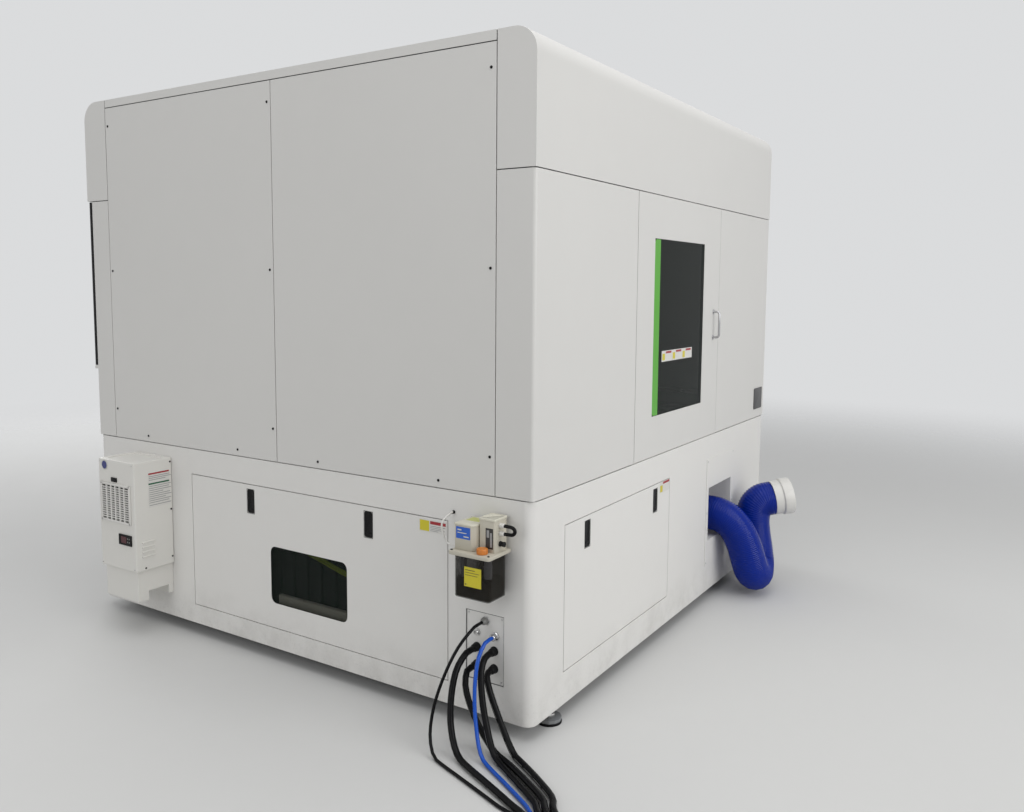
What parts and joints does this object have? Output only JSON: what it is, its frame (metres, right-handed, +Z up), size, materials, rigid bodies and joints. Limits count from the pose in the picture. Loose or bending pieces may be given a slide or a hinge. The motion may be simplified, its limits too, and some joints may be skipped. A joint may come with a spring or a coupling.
{
  "type": "fiber laser cutting machine",
  "caption": "Enclosed flat-bed laser sheet cutter: gantry and head over a sawtooth-slat table, hinged access doors, wall cooler, oiler, extraction duct and coiled supply lines.",
  "frame": {"origin": "middle of the base on the floor: the middle of the machine's bounding box in X and Y, the free lines left out, with Z = 0 at the feet's underside", "axes": "+X to the machine's right side, where the wall cooler, the oiler and the supply lines are; +Y to the rear, where the duct and the rear door are; the operator stands on the -Y side; +Z up"},
  "size_m": [3.0669, 2.7795, 2.1],
  "materials": {
    "white_powder_coat": "satin off-white powder coat",
    "pale_powder_coat": "satin, fine-textured pale powder coat",
    "grey_frame_paint": "satin grey paint over welds",
    "steel": "ground and lightly worn",
    "anodised_aluminium": "satin anodised",
    "bright_chrome": "polished",
    "brass": "turned",
    "dark_tinted_pane": "dark green tint, polished",
    "black_plastic": "fine grain",
    "red_plastic": "gloss",
    "beige_plastic": "satin",
    "smoky_plastic": "smoky, partly clear",
    "orange_plastic": "satin",
    "white_plastic": "satin",
    "blue_duct": "gloss, ribbed",
    "blue_air_tube": "gloss",
    "black_hose": "satin"
  },
  "bodies": {
    "machine": {"bed_frame": "grey_frame_paint", "lower_cabinet": "pale_powder_coat", "upper_frame": "grey_frame_paint", "right_front_panel": "white_powder_coat", "right_rear_panel": "white_powder_coat", "left_front_panel": "white_powder_coat", "left_rear_panel": "white_powder_coat", "rear_right_corner": "white_powder_coat", "rear_left_corner": "white_powder_coat", "front_right_corner": "white_powder_coat", "front_left_corner": "white_powder_coat", "rear_cowl": "white_powder_coat", "front_cowl": "white_powder_coat", "roof_panel": "white_powder_coat", "front_panel": "white_powder_coat", "front_fixed_window": "dark_tinted_pane", "connector_plate": "steel", "duct_plate": "white_powder_coat", "exhaust_duct": "blue_duct", "duct_cuff": "white_plastic", "ac_case": "pale_powder_coat", "ac_grille": "white_powder_coat", "ac_bracket": "pale_powder_coat", "lubricator_head": "beige_plastic", "lubricator_tank": "smoky_plastic", "cutting_table": "steel", "left_rail": "steel", "right_rail": "steel", "laser_source": "grey_frame_paint", "power_cable": "black_hose", "hose_1": "black_hose", "hose_2": "black_hose", "hose_3": "black_hose", "hose_4": "black_hose", "air_tube": "blue_air_tube", "line_coil": "black_hose", "power_cable_coupling": "brass", "hose_1_coupling": "brass", "hose_2_coupling": "brass", "hose_3_coupling": "brass", "hose_4_coupling": "brass", "air_tube_coupling": "brass"},
    "side_access": {"side_access_panel": "white_powder_coat", "side_window": "dark_tinted_pane"},
    "side_front_latch": {"side_latch_front": "black_plastic"},
    "side_rear_latch": {"side_latch_rear": "black_plastic"},
    "rear_access": {"rear_access_panel": "white_powder_coat"},
    "rear_left_latch": {"rear_latch_left": "black_plastic"},
    "rear_right_latch": {"rear_latch_right": "black_plastic"},
    "rear_entry": {"rear_door": "white_powder_coat", "rear_window": "dark_tinted_pane", "rear_handle": "bright_chrome"},
    "front_entry": {"front_door": "black_plastic", "front_door_window": "dark_tinted_pane"},
    "drawer": {"scrap_drawer": "pale_powder_coat"},
    "gantry": {"gantry_beam": "anodised_aluminium"},
    "head_carriage": {"carriage": "pale_powder_coat"},
    "head": {"cutting_head": "bright_chrome"},
    "oil_cap": {"lubricator_cap": "orange_plastic"},
    "stop_button": {"emergency_stop": "red_plastic"}
  },
  "joints": [
    {"name": "side_access_hinge", "type": "hinge", "parent": "machine", "child": "side_access", "pos_m": [1.02285, 0.01761, 0.124], "axis": [0, 1, 0], "range_deg": [0, 85]},
    {"name": "side_front_latch_hinge", "type": "hinge", "parent": "side_access", "child": "side_front_latch", "pos_m": [1.02285, -0.26639, 0.624], "axis": [0, -1, 0], "range_deg": [0, 40]},
    {"name": "side_rear_latch_hinge", "type": "hinge", "parent": "side_access", "child": "side_rear_latch", "pos_m": [1.02285, 0.30461, 0.624], "axis": [0, -1, 0], "range_deg": [0, 40]},
    {"name": "rear_access_hinge", "type": "hinge", "parent": "machine", "child": "rear_access", "pos_m": [0.41285, 0.94311, 0.156], "axis": [-1, 0, 0], "range_deg": [0, 85]},
    {"name": "rear_left_latch_hinge", "type": "hinge", "parent": "rear_access", "child": "rear_left_latch", "pos_m": [0.13285, 0.94311, 0.614], "axis": [1, 0, 0], "range_deg": [0, 40]},
    {"name": "rear_right_latch_hinge", "type": "hinge", "parent": "rear_access", "child": "rear_right_latch", "pos_m": [0.67985, 0.94311, 0.614], "axis": [1, 0, 0], "range_deg": [0, 40]},
    {"name": "rear_door_hinge", "type": "hinge", "parent": "machine", "child": "rear_entry", "pos_m": [0.33285, 0.94311, 1.2235], "axis": [0, 0, -1], "range_deg": [0, 110]},
    {"name": "front_door_slide", "type": "slide", "parent": "machine", "child": "front_entry", "axis": [-1, 0, 0], "range_m": [0, 1.05]},
    {"name": "drawer_slide", "type": "slide", "parent": "machine", "child": "drawer", "axis": [0, -1, 0], "range_m": [0, 1.1]},
    {"name": "gantry_slide", "type": "slide", "parent": "machine", "child": "gantry", "axis": [0, 1, 0], "range_m": [-0.95, 0.4]},
    {"name": "carriage_slide", "type": "slide", "parent": "gantry", "child": "head_carriage", "axis": [1, 0, 0], "range_m": [-0.65, 0.65]},
    {"name": "head_slide", "type": "slide", "parent": "head_carriage", "child": "head", "axis": [0, 0, 1], "range_m": [-0.055, 0.04]},
    {"name": "oil_cap_turn", "type": "hinge", "parent": "machine", "child": "oil_cap", "pos_m": [1.12085, 0.83061, 0.595], "axis": [0, 0, 1], "range_deg": [0, 90]},
    {"name": "stop_button_press", "type": "slide", "parent": "machine", "child": "stop_button", "axis": [0, 1, 0], "range_m": [0, 0.006], "stiffness_N_per_m": 800}
  ]
}
